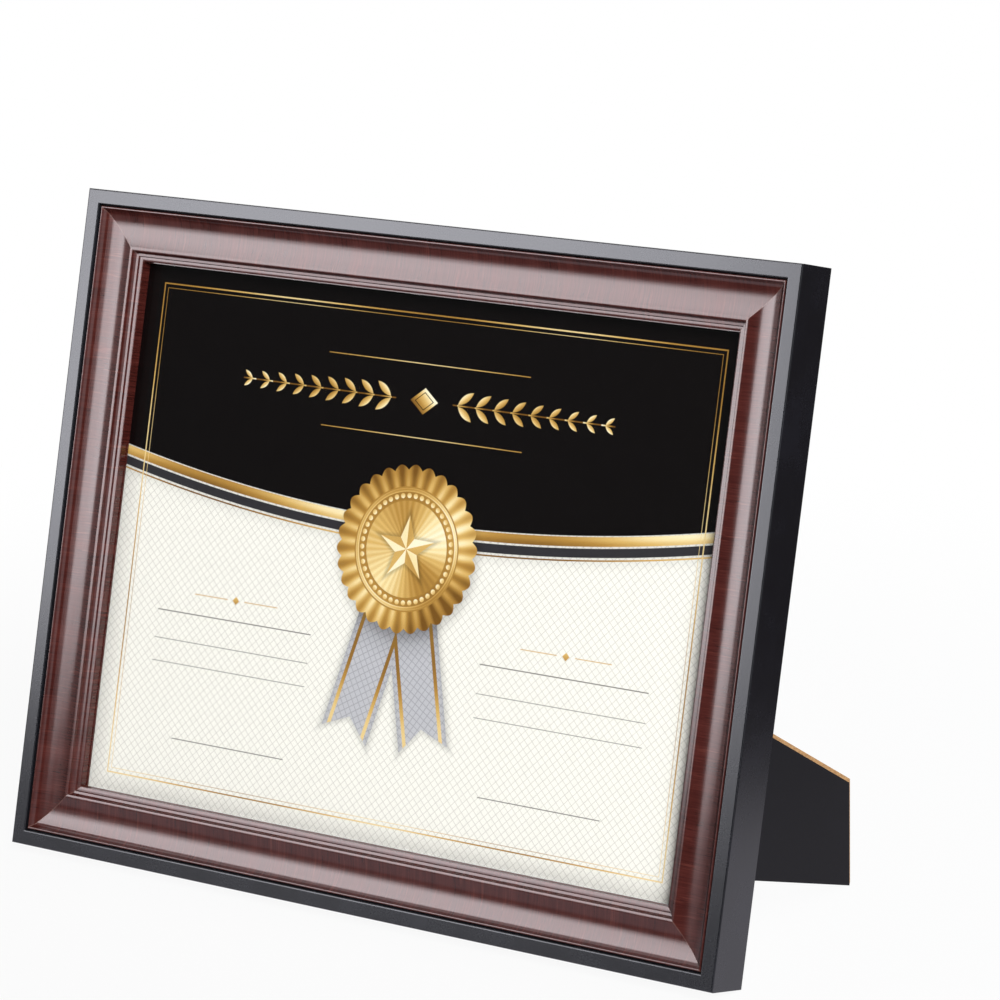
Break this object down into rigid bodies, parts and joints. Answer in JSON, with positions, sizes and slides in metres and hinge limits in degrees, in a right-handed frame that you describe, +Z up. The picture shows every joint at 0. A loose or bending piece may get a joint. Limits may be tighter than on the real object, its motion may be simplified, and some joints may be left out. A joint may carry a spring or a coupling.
{
  "type": "certificate frame",
  "caption": "Landscape document frame: scooped, mitred wood-grain moulding, glass, board held by turning spring clips, and a diagonal easel leg that folds flat.",
  "frame": {"origin": "on the table, under the middle of the frame and its open easel leg", "axes": "+X to the right along the bottom rail as seen from the front, +Y backwards towards the easel leg, +Z up; the frame leans back by 12.57 degrees"},
  "size_m": [0.3234, 0.1508, 0.2581],
  "materials": {
    "black_moulding": "black satin coat on a wood-fibre core",
    "wood_grain_film": "satin mahogany-grain film",
    "fastener_steel": "zinc plated",
    "clear_glass": "clear, polished",
    "printed_sheet": "smooth print",
    "filler_board": "plain card",
    "black_board": "fibreboard faced with black paper",
    "easel_board": "fibreboard faced with black paper, raw tan edges",
    "spring_steel": "bright spring steel",
    "hanger_metal": "brass plated",
    "hinge_steel": "zinc plated"
  },
  "bodies": {
    "frame": {"rail_top": "black_moulding", "rail_bottom": "black_moulding", "rail_left": "black_moulding", "rail_right": "black_moulding", "film_top": "wood_grain_film", "film_bottom": "wood_grain_film", "film_left": "wood_grain_film", "film_right": "wood_grain_film", "vee_nails": "fastener_steel", "clip_screws": "fastener_steel", "hanger_nails": "fastener_steel", "board_rivets": "fastener_steel", "hinge_pin": "fastener_steel", "glass": "clear_glass", "certificate": "printed_sheet", "filler_card": "filler_board", "backing_board": "black_board", "hanger_top": "hanger_metal", "hanger_side": "hanger_metal", "hinge_fixed_leaf": "hinge_steel"},
    "leg": {"easel_leg": "easel_board", "hinge_moving_leaf": "hinge_steel", "leg_rivets": "fastener_steel"},
    "clip_1": {"spring_clip_1": "spring_steel"},
    "clip_2": {"spring_clip_2": "spring_steel"},
    "clip_3": {"spring_clip_3": "spring_steel"},
    "clip_4": {"spring_clip_4": "spring_steel"},
    "clip_5": {"spring_clip_5": "spring_steel"},
    "clip_6": {"spring_clip_6": "spring_steel"}
  },
  "joints": [
    {"name": "leg_fold", "type": "hinge", "parent": "frame", "child": "leg", "pos_m": [0.00863, -0.02004, 0.14897], "axis": [-0.7071, -0.1539, -0.6902], "range_deg": [0, 35]},
    {"name": "clip_1_turn", "type": "hinge", "parent": "frame", "child": "clip_1", "pos_m": [-0.0857, -0.00088, 0.24134], "axis": [0, 0.976, -0.2176], "continuous": true},
    {"name": "clip_2_turn", "type": "hinge", "parent": "frame", "child": "clip_2", "pos_m": [0.0857, -0.00088, 0.24134], "axis": [0, 0.976, -0.2176], "continuous": true},
    {"name": "clip_3_turn", "type": "hinge", "parent": "frame", "child": "clip_3", "pos_m": [0.1492, -0.02317, 0.14135], "axis": [0, 0.976, -0.2176], "continuous": true},
    {"name": "clip_4_turn", "type": "hinge", "parent": "frame", "child": "clip_4", "pos_m": [0.0457, -0.052, 0.01207], "axis": [0, 0.976, -0.2176], "continuous": true},
    {"name": "clip_5_turn", "type": "hinge", "parent": "frame", "child": "clip_5", "pos_m": [-0.0857, -0.052, 0.01207], "axis": [0, 0.976, -0.2176], "continuous": true},
    {"name": "clip_6_turn", "type": "hinge", "parent": "frame", "child": "clip_6", "pos_m": [-0.1492, -0.03841, 0.07302], "axis": [0, 0.976, -0.2176], "continuous": true}
  ]
}
